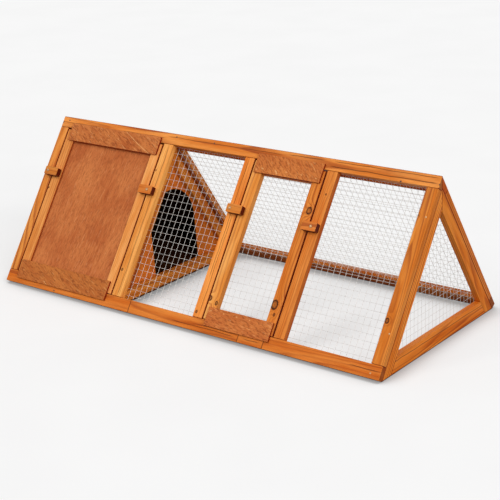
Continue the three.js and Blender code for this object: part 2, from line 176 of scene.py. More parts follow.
class RabbitRunWood(bpy.types.PropertyGroup):
    """Finish and edges of the pine boards and the plywood, and the light and shade painted into
    them.
    """

    board_pale: colour_setting("Board, pale", srgb(229, 145, 55), "Early wood of the boards")
    board_deep: colour_setting("Board, deep", srgb(205, 110, 28), "Heavier stain in the boards")
    board_line: colour_setting("Board, lines", srgb(150, 64, 18), "Late wood lines")
    knot: colour_setting("Knot", srgb(70, 32, 12), "Heart of a knot")
    ply_pale: colour_setting("Plywood, pale", srgb(206, 126, 62), "Pale figure of the plywood")
    ply_deep: colour_setting("Plywood, deep", srgb(176, 92, 42), "Deep figure of the plywood")
    ply_pore: colour_setting("Plywood, pores", srgb(120, 52, 20), "Pores of the plywood")
    # Also used as the painted shade on the buttons' undersides.
    cut_end_and_shade: colour_setting("Cut end", srgb(88, 26, 8), "Stain drawn into cut ends")
    crevice: colour_setting("Crevice", srgb(118, 22, 6), "Stain and dirt in tight seams")
    # Painted shade: the colour given to faces in gaps, below steps and on edges beside another
    # board.
    gap: colour_setting("Gap", srgb(138, 26, 3), "Heavy stain in the gaps and below the steps")
    # Painted contact shadow: wood just above the ground is darkened to this colour, up to this
    # height.
    ground_shadow_colour: colour_setting("Damp wood", srgb(46, 20, 8), "Wood just above the ground")
    ground_shadow_height: length_setting("Shadow", 3.2 * MM, "How high the wood above the ground is dark")
    bare: colour_setting("Bare wood", srgb(236, 176, 112), "Wood bared by chips and scratches")
    ring_pitch: length_setting("Ring pitch", 4.2 * MM, "Distance between two year rings")
    board_edge: length_setting("Board edge", 1.0 * MM, "Rounding of a board's edges")
    ply_edge: length_setting("Plywood edge", 0.5 * MM, "Rounding of a plywood edge")
    relief: length_setting("Grain relief", 0.2 * MM, "Height of the grain in the surface")
    # Painted shade: faces inside the sleeping area are darkened to this tone.
    shade_inside: share_setting("Inside", 0.08, "Tone of the surfaces inside the sleeping area")


class RabbitRunWire(bpy.types.PropertyGroup):
    """Welded wire mesh and small metal."""

    zinc: colour_setting("Zinc", srgb(226, 222, 216), "Galvanised wire")
    screw: colour_setting("Screw", srgb(190, 150, 108), "Plated screw heads")
    nail: colour_setting("Nail", srgb(214, 170, 120), "Bright nail heads")
    # Rust and painted shade: a dark disc stands for a sunk nail head in its hole.
    rust_and_hole_shade: colour_setting("Rust", srgb(52, 22, 10), "Sunk and rusted nail heads")
    wire: length_setting("Wire", 0.7 * MM, "Diameter of the mesh wire")
    pitch_along: length_setting("Pitch along", 16.5 * MM, "Distance between upright wires")
    pitch_up: length_setting("Pitch up", 17.5 * MM, "Distance between level wires")
    wander: length_setting("Wander", 0.22 * MM, "How far the wires stray from straight")


class RabbitRunStage(bpy.types.PropertyGroup):
    """Camera, floor and light."""

    floor: colour_setting("Floor", srgb(252, 252, 252), "Floor under the run")
    floor_bounce: share_setting("Floor bounce", 0.32, "How much light the floor gives back")
    floor_glow: share_setting("Floor glow", 0.52, "Share of its white that is never shaded")
    contact_shade: share_setting("Contact shade", 0.5, "Floor's tone where wood meets it")
    sky: share_setting("Sky", 0.5, "Strength of the even light from all round")
    key: bpy.props.FloatProperty(
        name="Key light", description="Strength of the light from the left", min=0, default=1.07
    )
    fill: bpy.props.FloatProperty(
        name="Fill light", description="Strength of the light from the right", min=0, default=1.35
    )
    lens: bpy.props.FloatProperty(
        name="Lens", description="Focal length on a 36 mm frame", min=10, default=93.7
    )


# ---------------------------------------------------------------- node helpers

# Noise stays near its middle; most of it lies between these two.
NOISE_LOW, NOISE_HIGH = 0.3, 0.7


def feed(tree, node, inputs):
    """Sets a node's inputs, each to a value or to another node's output."""
    for key, value in inputs.items():
        if isinstance(value, bpy.types.NodeSocket):
            tree.links.new(value, node.inputs[key])
        else:
            node.inputs[key].default_value = value


def add_node(tree, kind, inputs=None, **settings):
    """A shader node with its settings and inputs."""
    node = tree.nodes.new(f"ShaderNode{kind}")
    for key, value in settings.items():
        setattr(node, key, value)
    feed(tree, node, inputs or {})
    return node


def calc(tree, operation, *values):
    inputs = dict(enumerate(values))
    return add_node(tree, "Math", inputs, operation=operation).outputs[0]


def times(tree, first, second):
    return calc(tree, "MULTIPLY", first, second)


def plus(tree, first, second):
    return calc(tree, "ADD", first, second)


def minus(tree, first, second):
    return calc(tree, "SUBTRACT", first, second)


def calc_vector(tree, operation, *values):
    inputs = dict(enumerate(values))
    node = add_node(tree, "VectorMath", inputs, operation=operation)
    return node.outputs[1 if operation in {"LENGTH", "DOT_PRODUCT", "DISTANCE"} else 0]


def scale_vector(tree, vector, scale):
    inputs = {"Vector": vector, "Scale": scale}
    return add_node(tree, "VectorMath", inputs, operation="SCALE").outputs[0]


def parts_of(tree, vector):
    """The outputs X, Y and Z of a vector."""
    return add_node(tree, "SeparateXYZ", {"Vector": vector}).outputs


def mix_colour(tree, share, low, high, blend="MIX"):
    inputs = {0: share, 6: low, 7: high}
    node = add_node(tree, "Mix", inputs, data_type="RGBA", blend_type=blend)
    return node.outputs[2]


def toned(tree, colour, tone):
    """The colour times a grey of the given tone."""
    inputs = {"Red": tone, "Green": tone, "Blue": tone}
    grey = add_node(tree, "CombineColor", inputs).outputs[0]
    return mix_colour(tree, 1.0, colour, grey, "MULTIPLY")


def between(tree, value, low, high, new_low=0.0, new_high=1.0):
    """Smoothly maps value from low..high to new_low..new_high."""
    inputs = dict(enumerate((value, low, high, new_low, new_high)))
    node = add_node(tree, "MapRange", inputs, interpolation_type="SMOOTHSTEP")
    return node.outputs["Result"]


def near_to(tree, value, spot, full, none):
    """1 where value is within full of spot, falling to 0 where it is none away."""
    off = calc(tree, "ABSOLUTE", minus(tree, value, spot))
    return between(tree, off, full, none, 1.0, 0.0)


def cloud(tree, vector, scale, detail=2.0, roughness=0.5):
    """Noise around 0.5 on a vector that is stretched by scale."""
    stretched = calc_vector(tree, "MULTIPLY", vector, scale)
    inputs = {"Vector": stretched, "Scale": 1.0, "Detail": detail, "Roughness": roughness}
    return add_node(tree, "TexNoise", inputs).outputs["Fac"]


def spread(tree, noise_value, low=0.0, high=1.0):
    """A noise stretched to low..high."""
    return between(tree, noise_value, NOISE_LOW, NOISE_HIGH, low, high)


def object_place(tree):
    return add_node(tree, "TexCoord").outputs["Object"]


def new_group(name, inputs, outputs):
    """A shader node group with sockets listed by kind: its tree, inputs and output node."""
    tree = bpy.data.node_groups.new(name, "ShaderNodeTree")
    for in_out, kinds in (("INPUT", inputs), ("OUTPUT", outputs)):
        for kind, labels in kinds.items():
            for label in labels:
                tree.interface.new_socket(
                    name=label, in_out=in_out, socket_type=f"NodeSocket{kind}"
                )
    return tree, tree.nodes.new("NodeGroupInput").outputs, tree.nodes.new("NodeGroupOutput")


def use_group(tree, name, **inputs):
    """The outputs of a placed group; the spaces in its inputs' names are underscores."""
    named = {label.replace("_", " "): value for label, value in inputs.items()}
    group = bpy.data.node_groups[name]
    return add_node(tree, "Group", named, node_tree=group).outputs


def opaque(colour):
    return (*colour, 1.0)


def dimmed(colour, share):
    """The colour at a share of its brightness."""
    return opaque([channel * share for channel in colour])


# ---------------------------------------------------------------- wood shader groups

# Noise scales along, across and through a board, per metre.
RINGS_SWAY = (2.2, 9.0, 9.0)
RINGS_UNEVEN = (0.8, 60.0, 60.0)
RINGS_STRENGTH = (1.4, 34.0, 34.0)
PINE_FIBRE = (26.0, 900.0, 900.0)
PINE_STAIN = (5.0, 40.0, 40.0)
PLY_FIGURE = (9.0, 16.0, 16.0)
PLY_STRIPE = (16.0, 110.0, 110.0)
PLY_PORES = (80.0, 290.0, 290.0)
PLY_FLECKS = (45.0, 300.0, 300.0)
KNOT_ROUGH = (300.0, 300.0, 300.0)
STREAK_DRIFT = (14.0, 0.0, 0.0)
MARK_ROUGH = (260.0, 260.0, 260.0)

# How far the year rings sway, and which shares of a ring its late wood starts and peaks at.
SWAY = 24 * MM
LATE_START, LATE_PEAK = 0.35, 0.86
FIBRE_TONES = (0.85, 1.1)
PINE_ROUGHNESS = (0.42, 0.58)
PLY_ROUGHNESS = (0.5, 0.66)
# Radii at which a knot is small and filled, or large with a paler heart.
SMALL_KNOT, LARGE_KNOT = 4 * MM, 7 * MM
FINGER_PITCH, FINGER_LENGTH = 2.2, 5 * MM


def build_pine_group():
    """Year rings, fibres and uneven stain of a pine board.

    Place is along, across and through the board in metres; Heart is where the tree's
    middle lies in the last two; Swirl pushes the rings aside round a knot.
    """
    tree, given, end = new_group(
        "Pine",
        {
            "Vector": ("Place", "Seed", "Heart"),
            "Float": ("Swirl", "Knot", "Line", "Contrast", "Ring Pitch"),
            "Color": ("Pale", "Deep", "Late", "Knot Colour"),
        },
        {"Color": ("Color",), "Float": ("Roughness", "Height")},
    )
    seeded = calc_vector(tree, "ADD", given["Place"], given["Seed"])
    wander = minus(tree, cloud(tree, seeded, RINGS_SWAY, 1.0), 0.5)
    parts = parts_of(tree, calc_vector(tree, "SUBTRACT", given["Place"], given["Heart"]))
    flat = {"X": 0.0, "Y": parts["Y"], "Z": parts["Z"]}
    flat = add_node(tree, "CombineXYZ", flat).outputs[0]
    radius = calc_vector(tree, "LENGTH", flat)
    radius = plus(tree, radius, times(tree, wander, SWAY))
    radius = plus(tree, radius, given["Swirl"])
    uneven = cloud(tree, seeded, RINGS_UNEVEN, 1.0)
    turns = calc(tree, "DIVIDE", radius, given["Ring Pitch"])
    turns = plus(tree, turns, times(tree, uneven, 1.6))
    phase = calc(tree, "FRACT", turns)
    rise = between(tree, phase, LATE_START, LATE_PEAK)
    fall = between(tree, phase, LATE_PEAK, 1.0, 1.0, 0.0)
    strength = spread(tree, cloud(tree, seeded, RINGS_STRENGTH, 1.0), 0.2, 1.0)
    strength = times(tree, strength, given["Contrast"])
    late = times(tree, times(tree, rise, fall), strength)
    fibre = cloud(tree, seeded, PINE_FIBRE, 3.0, 0.6)
    stain = cloud(tree, seeded, PINE_STAIN, 3.0, 0.6)
    base = mix_colour(tree, spread(tree, stain), given["Pale"], given["Deep"])
    base = mix_colour(tree, late, base, given["Late"])
    base = toned(tree, base, between(tree, fibre, 0.25, 0.75, *FIBRE_TONES))
    dark = calc(tree, "MAXIMUM", given["Knot"], given["Line"])
    height = calc(tree, "MULTIPLY_ADD", fibre, 0.6, times(tree, late, 0.4))
    feed(
        tree,
        end,
        {
            "Color": mix_colour(tree, dark, base, given["Knot Colour"]),
            "Roughness": spread(tree, stain, *PINE_ROUGHNESS),
            "Height": minus(tree, height, given["Line"]),
        },
    )


def build_knot_group():
    """One knot: Mask is its dark heart and rim, Swirl how far it pushes the rings aside."""
    tree, given, end = new_group(
        "Knot",
        {"Vector": ("Place", "Centre"), "Float": ("Size",)},
        {"Float": ("Mask", "Swirl")},
    )
    away = calc_vector(tree, "SUBTRACT", given["Place"], given["Centre"])
    away = calc_vector(tree, "MULTIPLY", away, (0.75, 1.0, 0.0))
    share = calc(tree, "DIVIDE", calc_vector(tree, "LENGTH", away), given["Size"])
    rough = minus(tree, cloud(tree, given["Place"], KNOT_ROUGH, 2.0), 0.5)
    share = plus(tree, share, times(tree, rough, 0.4))
    rings = calc(tree, "SINE", times(tree, share, 16.0))
    filled = between(tree, given["Size"], SMALL_KNOT, LARGE_KNOT, 0.85, 0.6)
    heart = between(tree, share, 0.6, 0.85, filled, 0.0)
    heart = times(tree, heart, between(tree, rings, -1.0, 1.0, 0.4, 1.0))
    mask = calc(tree, "MAXIMUM", heart, near_to(tree, share, 0.85, 0.08, 0.34))
    fade = times(tree, times(tree, share, share), -0.3)
    swirl = times(tree, calc(tree, "EXPONENT", fade), given["Size"])
    feed(tree, end, {"Mask": mask, "Swirl": times(tree, swirl, 1.6)})


def build_streak_group():
    """A dark lengthwise line: a shake or a resin streak from Start to Stop."""
    tree, given, end = new_group(
        "Streak",
        {"Vector": ("Place",), "Float": ("Start", "Stop", "Across", "Width")},
        {"Float": ("Mask",)},
    )
    parts = parts_of(tree, given["Place"])
    drift = minus(tree, cloud(tree, given["Place"], STREAK_DRIFT, 2.0), 0.5)
    line = calc(tree, "MULTIPLY_ADD", drift, 6 * MM, given["Across"])
    off = calc(tree, "ABSOLUTE", minus(tree, parts["Y"], line))
    core = between(tree, calc(tree, "DIVIDE", off, given["Width"]), 0.2, 1.0, 1.0, 0.0)
    begun = minus(tree, parts["X"], given["Start"])
    left = minus(tree, given["Stop"], parts["X"])
    faded = between(tree, calc(tree, "MINIMUM", begun, left), 0.0, 20 * MM)
    feed(tree, end, {"Mask": times(tree, core, faded)})


def build_finger_joint_group():
    """A zigzag glue line across a board; Side is 1 past it."""
    tree, given, end = new_group(
        "Finger Joint", {"Vector": ("Place",), "Float": ("At",)}, {"Float": ("Mask", "Side")}
    )
    parts = parts_of(tree, given["Place"])
    zigzag = times(tree, parts["Z"], FINGER_PITCH)
    zigzag = calc(tree, "PINGPONG", zigzag, FINGER_LENGTH)
    off = minus(tree, minus(tree, parts["X"], given["At"]), zigzag)
    mask = near_to(tree, off, 0.0, 0.4 * MM, 1.8 * MM)
    feed(tree, end, {"Mask": mask, "Side": between(tree, off, -0.2 * MM, 0.2 * MM)})


def build_mark_group():
    """A straight mark from one place to another: a scratch or a chip."""
    tree, given, end = new_group(
        "Mark", {"Vector": ("Place", "From", "To"), "Float": ("Width",)}, {"Float": ("Mask",)}
    )
    flat = calc_vector(tree, "MULTIPLY", given["Place"], (1.0, 1.0, 0.0))
    rough = cloud(tree, flat, MARK_ROUGH, 2.0)
    whole = calc_vector(tree, "SUBTRACT", given["To"], given["From"])
    reach = calc_vector(tree, "SUBTRACT", flat, given["From"])
    along = calc_vector(tree, "DOT_PRODUCT", reach, whole)
    along = calc(tree, "DIVIDE", along, calc_vector(tree, "DOT_PRODUCT", whole, whole))
    along = add_node(tree, "Clamp", {"Value": along}).outputs[0]
    off = calc_vector(tree, "DISTANCE", reach, scale_vector(tree, whole, along))
    share = calc(tree, "DIVIDE", off, given["Width"])
    share = plus(tree, share, spread(tree, rough, -0.35, 0.35))
    feed(tree, end, {"Mask": between(tree, share, 0.3, 1.0, 1.0, 0.0)})


def build_plywood_group():
    """Rotary-cut veneer: cloudy stain, slanting pores and pale flecks."""
    tree, given, end = new_group(
        "Plywood",
        {
            "Vector": ("Place", "Seed"),
            "Float": ("Lean", "Pore Strength", "Fleck Strength"),
            "Color": ("Pale", "Deep", "Pore", "Bare"),
        },
        {"Color": ("Color",), "Float": ("Roughness", "Height")},
    )
    lean = {"Vector": given["Place"], "Angle": given["Lean"]}
    turned = add_node(tree, "VectorRotate", lean, rotation_type="Z_AXIS").outputs[0]
    seeded = calc_vector(tree, "ADD", turned, given["Seed"])
    broad = cloud(tree, seeded, PLY_FIGURE, 4.0, 0.62)
    stripe = cloud(tree, seeded, PLY_STRIPE, 3.0, 0.65)
    pores = cloud(tree, seeded, PLY_PORES, 3.0, 0.75)
    elsewhere = calc_vector(tree, "ADD", seeded, (3.0, 1.0, 2.0))
    flecks = cloud(tree, elsewhere, PLY_FLECKS, 2.0)
    tone = calc(tree, "MULTIPLY_ADD", stripe, 0.4, times(tree, broad, 0.6))
    base = mix_colour(tree, spread(tree, tone), given["Pale"], given["Deep"])
    pores = times(tree, between(tree, pores, 0.46, 0.66), given["Pore Strength"])
    base = mix_colour(tree, pores, base, given["Pore"])
    bright = times(tree, between(tree, flecks, 0.6, 0.72), given["Fleck Strength"])
    feed(
        tree,
        end,
        {
            "Color": mix_colour(tree, bright, base, given["Bare"]),
            "Roughness": spread(tree, broad, *PLY_ROUGHNESS),
            "Height": minus(tree, times(tree, stripe, 0.3), pores),
        },
    )


def build_age_group():
    """What all wood shares: cut ends, dark seams, and painted light: a painted highlight on the
    arrises, painted shade under the buttons, in gaps and below steps, a painted contact shadow at
    the foot and painted shade inside the sleeping area.
    """
    tree, given, end = new_group(
        "Age",
        {
            "Float": ("Arris", "Inside", "Height", "Damp Height", "Inside Tone")
            + ("Cut End", "Crevice", "Gap"),
            "Color": ("Color", "Arris Colour", "End Colour", "Crevice Colour")
            + ("Gap Colour", "Damp Colour"),
        },
        {"Color": ("Color",)},
    )
    shadow_share = calc(tree, "DIVIDE", given["Height"], given["Damp Height"])
    base = given["Color"]
    for share, label in (
        (given["Cut End"], "End Colour"),
        # Painted highlight: the rounded edges are paler.
        (times(tree, given["Arris"], 0.3), "Arris Colour"),
        # Painted shade in gaps, below steps and beside other boards.
        (given["Gap"], "Gap Colour"),
        (given["Crevice"], "Crevice Colour"),
        # Painted contact shadow just above the ground.
        (between(tree, shadow_share, 0.5, 1.0, 0.9, 0.0), "Damp Colour"),
    ):
        base = mix_colour(tree, share, base, given[label])
    # Painted shade: faces inside the sleeping area are darkened.
    shaded = toned(tree, base, given["Inside Tone"])
    feed(tree, end, {"Color": mix_colour(tree, given["Inside"], base, shaded)})


def build_wood_groups():
    build_pine_group()
    build_knot_group()
    build_streak_group()
    build_finger_joint_group()
    build_mark_group()
    build_plywood_group()
    build_age_group()


# ---------------------------------------------------------------- wood materials

# Knots seen on single boards, in millimetres on the board's side as (x, s, radius).
KNOTS = {
    "mesh_door_right_stile": [(269, 107, 9), (279, 342, 7), (276, 84, 3)],
    "mesh_door_left_stile": [(85, 86, 5), (107, 77, 4)],
    "front_right_stile": [(566, 132, 5), (561, 378, 2)],
    "front_bay_stile": [(310, 388, 2), (311, 300, 2)],
    "front_middle_stile": [(58, 46, 3)],
    "front_partition_stile": [(-210, 102, 3), (-212, 372, 2)],
    "house_door_left_stile": [(-556, 272, 2)],
}
# Dark lengthwise lines as (from, to, across, half width), along and across the grain.
STREAKS = {
    "front_top_rail": [
        (-590, -210, 461, 1.4), (-215, 160, 466, 1.2), (167, 283, 469, 1.6),
        (290, 590, 457, 2.2), (300, 590, 470, 1.4),
    ],
    "front_bottom_rail": [
        (-10, 190, 11, 1.6), (205, 268, 11, 1.6), (500, 590, 18, 1.6), (60, 200, 17, 1.0),
    ],
    "front_middle_stile": [(130, 440, 62, 1.3), (40, 300, 68, 1.2)],
    "front_partition_stile": [(30, 446, -197, 1.5)],
    "right_end_cross_rail": [(-250, 250, 28, 1.5)],
}
FINGER_JOINTS = {"front_bottom_rail": (-148, 198, 271), "back_bottom_rail": (120,)}
# Pale marks as (x, s, x, s, half width): a long scratch and the chips over the nails.
MARKS = {
    "house_door_top_strip": [(-349, 459, -300, 433, 1.0), (-300, 433, -251, 411, 1.0)],
    "mesh_door_top_strip": [
        (95, 419, 98, 418, 1.5), (111, 424, 116, 422, 1.6), (152, 423, 160, 416, 2.2),
        (184, 424, 187, 423, 1.6), (228, 424, 231, 422, 1.3), (270, 421, 273, 420, 1.4),
    ],
    "mesh_door_bottom_strip": [
        (101, 57, 104, 56, 1.5), (141, 56, 143, 55, 1.4), (179, 57, 182, 56, 1.5),
        (218, 57, 220, 56, 1.3), (278, 56, 280, 55, 1.3),
    ],
    "house_door_bottom_strip": [(-452, 22, -440, 15, 1.2)],
}
STREAK_SHARE, JOINT_SHARE, MARK_SHARE = 0.7, 0.8, 0.75
# How each piece took the stain: red, green and blue shares of the settings' colours. The back
# rails' low shares also paint the shade they stand in, and the partition panel's high red paints
# light into its shade.
TINTS = {
    "front_top_rail": (1.15, 1.18, 1.8),
    "front_bottom_rail": (1.0, 0.84, 0.92),
    "front_left_stile": (1.1, 1.2, 1.85),
    "front_partition_stile": (1.31, 1.67, 3.2),
    "front_middle_stile": (1.3, 1.32, 2.0),
    "front_bay_stile": (1.1, 1.1, 1.6),
    "front_right_stile": (1.04, 1.04, 1.25),
    "house_door_left_stile": (1.1, 1.26, 2.45),
    "house_door_right_stile": (1.25, 1.57, 3.5),
    "house_door_panel": (1.02, 0.97, 1.17),
    "house_door_top_strip": (1.05, 1.02, 1.1),
    "house_door_bottom_strip": (0.97, 0.95, 0.89),
    "mesh_door_left_stile": (1.28, 1.66, 3.2),
    "mesh_door_right_stile": (1.04, 0.97, 1.14),
    "mesh_door_top_strip": (1.15, 1.13, 1.1),
    "mesh_door_bottom_strip": (1.16, 1.13, 1.18),
    "house_left_button": (0.97, 1.06, 1.6),
    "house_right_button": (1.02, 0.98, 1.5),
    "mesh_left_button": (1.12, 1.35, 2.5),
    "mesh_right_button": (0.98, 0.86, 1.2),
    "right_end_front_leg": (1.25, 1.2, 1.13),
    "right_end_back_leg": (1.07, 0.95, 0.75),
    "right_end_cross_rail": (1.07, 0.86, 0.62),
    "back_right_stile": (0.93, 0.8, 0.74),
    # Stain and painted shade: these back rails lie in shade.
    "back_bottom_rail": (0.75, 0.62, 0.6),
    "back_top_rail": (0.9, 0.55, 0.3),
    # Stain and painted light: the panel lies in the roofs' shade.
    "partition_panel": (1.3, 1.06, 0.55),
}
PLAIN_TINT = (1.0, 0.95, 1.0)
# Boards paler than this show their rings least, the others more by kind.
PALE_TINT = 1.21
RING_CONTRAST = (0.35, 0.6)
EXTRA_CONTRAST = {"stile": 0.5, "rail": 0.3}
# Where the tree's middle lies beside and behind a board.
HEART_BESIDE = (4 * MM, 30 * MM)
HEART_BEHIND = (30 * MM, 75 * MM)
# What a finger joint moves the grain by, so that the next length looks like another tree's.
NEXT_LENGTH = (0.7, 0.013, 0.006)
# How dark the stain was drawn into the cut ends: the buttons', those of some rails, the rest. The
# buttons' share also sets the painted shade on their undersides.
BUTTON_ENDS, RAIL_ENDS, OTHER_ENDS = 1.0, 0.6, 0.2
STAINED_RAILS = {"front_top_rail", "front_bottom_rail", "back_bottom_rail"}
WOOD_SHEEN, WOOD_BUMP = 0.08, 0.6
# How many times as high the painted contact shadow at the foot stands in the partition.
PARTITION_SHADOW_RISE = 2


def new_material(name):
    material = bpy.data.materials.new(name)
    material.use_nodes = True
    return material


def attribute(tree, name, output="Fac"):
    return add_node(tree, "Attribute", attribute_name=name).outputs[output]


def tinted(colour, tint):
    """The colour as one piece took it."""
    return opaque([min(1.0, channel * share) for channel, share in zip(colour, tint)])


def tint_of(name):
    return TINTS.get(name, PLAIN_TINT)


def end_stain(name):
    if name.endswith("_button"):
        return BUTTON_ENDS
    return RAIL_ENDS if name in STAINED_RAILS else OTHER_ENDS


def random_seed(draw):
    return [draw.uniform(-5, 5) for _ in range(3)]


def finish_wood(node, material, wood, ends, pale, settings):
    """Marks, cut ends, painted highlights on the arrises, painted shade in gaps, inside and at
    the foot, and the shader's inputs, shared by every wooden material.
    """
    tree = material.node_tree
    place = attribute(tree, "grain", "Vector")
    colour = wood["Color"]
    for x1, s1, x2, s2, width in MARKS.get(node, ()):
        ends_of_mark = {"From": (x1 * MM, s1 * MM, 0.0), "To": (x2 * MM, s2 * MM, 0.0)}
        mark = use_group(tree, "Mark", Place=place, Width=width * MM, **ends_of_mark)
        share = times(tree, mark["Mask"], MARK_SHARE)
        colour = mix_colour(tree, share, colour, opaque(settings.bare))
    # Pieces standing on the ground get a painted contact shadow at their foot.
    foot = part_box(node)[0][2]
    ground_shadow_height = settings.ground_shadow_height if foot < BOARD else 0.0
    if node.startswith("partition_"):
        ground_shadow_height *= PARTITION_SHADOW_RISE
    aged = use_group(
        tree,
        "Age",
        Color=colour,
        Cut_End=times(tree, attribute(tree, "cut_end_and_shade"), ends),
        Arris=attribute(tree, "arris"),
        Inside=attribute(tree, "inside"),
        Crevice=attribute(tree, "crevice"),
        Gap=attribute(tree, "gap"),
        Height=minus(tree, parts_of(tree, object_place(tree))["Z"], foot),
        Damp_Height=max(ground_shadow_height, TINY),
        End_Colour=opaque(settings.cut_end_and_shade),
        # Painted highlight on the rounded edges, in the wood's pale colour.
        Arris_Colour=opaque(pale),
        Crevice_Colour=opaque(settings.crevice),
        Gap_Colour=opaque(settings.gap),
        Damp_Colour=opaque(settings.ground_shadow_colour),
        Inside_Tone=settings.shade_inside,
    )
    relief = {"Height": wood["Height"], "Strength": WOOD_BUMP, "Distance": settings.relief}
    shader = {
        "Base Color": aged["Color"],
        "Roughness": wood["Roughness"],
        "Specular IOR Level": WOOD_SHEEN,
        "Normal": add_node(tree, "Bump", relief).outputs["Normal"],
    }
    feed(tree, tree.nodes["Principled BSDF"], shader)
    return material


def pine_material(name, kind, centre, settings):
    """Stained pine for one board, with its own rings, tone and marks."""
    draw = random.Random(name)
    material = new_material(f"{name}_pine")
    tree = material.node_tree
    place = grain = attribute(tree, "grain", "Vector")
    swirl, knot, line = 0.0, 0.0, 0.0
    for x, s, radius in KNOTS.get(name, ()):
        along, across = (x, s) if kind == "rail" else (s, x)
        middle = (along * MM, across * MM, 0.0)
        spot = use_group(tree, "Knot", Place=place, Centre=middle, Size=radius * MM)
        swirl = plus(tree, spot["Swirl"], swirl)
        knot = calc(tree, "MAXIMUM", spot["Mask"], knot)
    for measures in STREAKS.get(name, ()):
        labels = ("Start", "Stop", "Across", "Width")
        sizes = {label: measure * MM for label, measure in zip(labels, measures)}
        streak = use_group(tree, "Streak", Place=place, **sizes)
        share = times(tree, streak["Mask"], STREAK_SHARE)
        line = calc(tree, "MAXIMUM", share, line)
    seed = random_seed(draw)
    for x in FINGER_JOINTS.get(name, ()):
        joint = use_group(tree, "Finger Joint", Place=place, At=x * MM)
        share = times(tree, joint["Mask"], JOINT_SHARE)
        line = calc(tree, "MAXIMUM", share, line)
        grain = calc_vector(tree, "ADD", grain, scale_vector(tree, NEXT_LENGTH, joint["Side"]))
    heart = (
        0.0,
        centre[1] + draw.choice((-1, 1)) * draw.uniform(*HEART_BESIDE),
        centre[2] - draw.uniform(*HEART_BEHIND),
    )
    tint = tint_of(name)
    extra = 0.0 if tint[1] > PALE_TINT else EXTRA_CONTRAST[kind]
    pine = use_group(
        tree,
        "Pine",
        Place=grain,
        Seed=seed,
        Heart=heart,
        Swirl=swirl,
        Knot=knot,
        Line=line,
        Contrast=draw.uniform(*RING_CONTRAST) + extra,
        Ring_Pitch=settings.ring_pitch * draw.uniform(0.8, 1.3),
        Pale=tinted(settings.board_pale, tint),
        Deep=tinted(settings.board_deep, tint),
        Late=tinted(settings.board_line, tint),
        Knot_Colour=opaque(settings.knot),
    )
    return finish_wood(name, material, pine, end_stain(name), settings.board_pale, settings)


def plywood_material(name, settings, lean, pores, flecks):
    """Stained plywood for one sheet or strip."""
    material = new_material(f"{name}_plywood")
    tree = material.node_tree
    tint = tint_of(name)
    ply = use_group(
        tree,
        "Plywood",
        Place=attribute(tree, "grain", "Vector"),
        Seed=random_seed(random.Random(name)),
        Lean=lean,
        Pore_Strength=pores,
        Fleck_Strength=flecks,
        Pale=tinted(settings.ply_pale, tint),
        Deep=tinted(settings.ply_deep, tint),
        Pore=tinted(settings.ply_pore, tint),
        Bare=tinted(settings.bare, tint),
    )
    return finish_wood(name, material, ply, 1.0, settings.ply_pale, settings)


# ---------------------------------------------------------------- wooden pieces

# Edges longer and sharper than these are rounded; faces flatter than this are joined.
SHORT_EDGE, SHARP_ANGLE, FLAT_ANGLE = 2 * MM, math.radians(30), math.radians(1)
# How near another board makes a seam, and how dark its stain is; how near it makes painted shade
# on an edge beside it, on faces in gaps and at the foot of a step, and how dark each is.
SEAM_REACH, SEAM_TONE = 1.3 * MM, 0.9
EDGE_REACH, EDGE_TONE = 5.2 * MM, 0.5
GAP_REACH, GAP_TONE = 6 * MM, 0.95
STEP_REACH, STEP_TONE = 3.8 * MM, 0.8
# Painted shade on the side of some stiles towards the right end, and how dark it is.
SIDE_SHADE = {"front_bay_stile": 0.5, "mesh_door_left_stile": 0.25}
# A face looks squarely some way, or just inwards, from these cosines on.
SQUARELY, INWARDS = 0.8, 0.25
FACE_MASKS = ("cut_end_and_shade", "inside", "crevice", "gap")


def link(name, bm, material=None):
    """Makes an object at the origin out of a bmesh and frees the bmesh."""
    mesh = bpy.data.meshes.new(name)
    bm.to_mesh(mesh)
    bm.free()
    if material:
        mesh.materials.append(material)
    piece = bpy.data.objects.new(name, mesh)
    bpy.context.scene.collection.objects.link(piece)
    return piece


def side_of(node):
    return BACK if node.startswith("back_") else FRONT


def rounded_copy(node, edge, segments):
    """The node's own shape with its long sharp edges rounded over."""
    bm = bmesh.new()
    # The layer comes first, because making it later drops the faces held by then.
    arris = bm.faces.layers.float.new("arris")
    bm.from_mesh(NODES[node].data)
    bmesh.ops.remove_doubles(bm, verts=bm.verts, dist=TINY)
    bmesh.ops.dissolve_limit(bm, angle_limit=FLAT_ANGLE, verts=bm.verts, edges=bm.edges)
    sharp = [
        side
        for side in bm.edges
        if side.calc_length() > SHORT_EDGE and side.calc_face_angle(0) > SHARP_ANGLE
    ]
    rounded = bmesh.ops.bevel(
        bm,
        geom=sharp,
        offset=edge,
        offset_type="OFFSET",
        segments=segments,
        profile=0.5,
        affect="EDGES",
        material=-1,
        clamp_overlap=True,
    )
    for face in rounded["faces"]:
        face[arris] = 1.0
    return bm


def grain_axes(node):
    """The directions along and across the grain of a wooden node, and its kind."""
    side = BACK if "_back_" in node else side_of(node)
    if node.endswith(("cross_rail", "bottom_batten")) or node.startswith("floor_"):
        return ACROSS, UPWARD, "rail"
    if node.endswith(("_rail", "_strip", "_button")):
        return RIDGE, side.up, "rail"
    if node.endswith(("_leg", "_batten")):
        return side.up, side.out, "stile"
    if node in {"partition_panel", "left_end_panel"}:
        return UPWARD, ACROSS, "stile"
    return side.up, RIDGE, "stile"


def mark_grain(mesh, node):
    """Stores each vertex's place along, across and through the board."""
    along, across, kind = grain_axes(node)
    origin = side_of(node).origin if RIDGE in (along, across) else Vector()
    grain = Matrix((along, across, along.cross(across)))
    store = mesh.attributes.new("grain", "FLOAT_VECTOR", "POINT")
    total = Vector()
    for index, vertex in enumerate(mesh.vertices):
        place = grain @ (vertex.co - origin)
        store.data[index].vector = place
        total += place
    mark_faces(mesh, node, along)
    return kind, total / len(mesh.vertices)


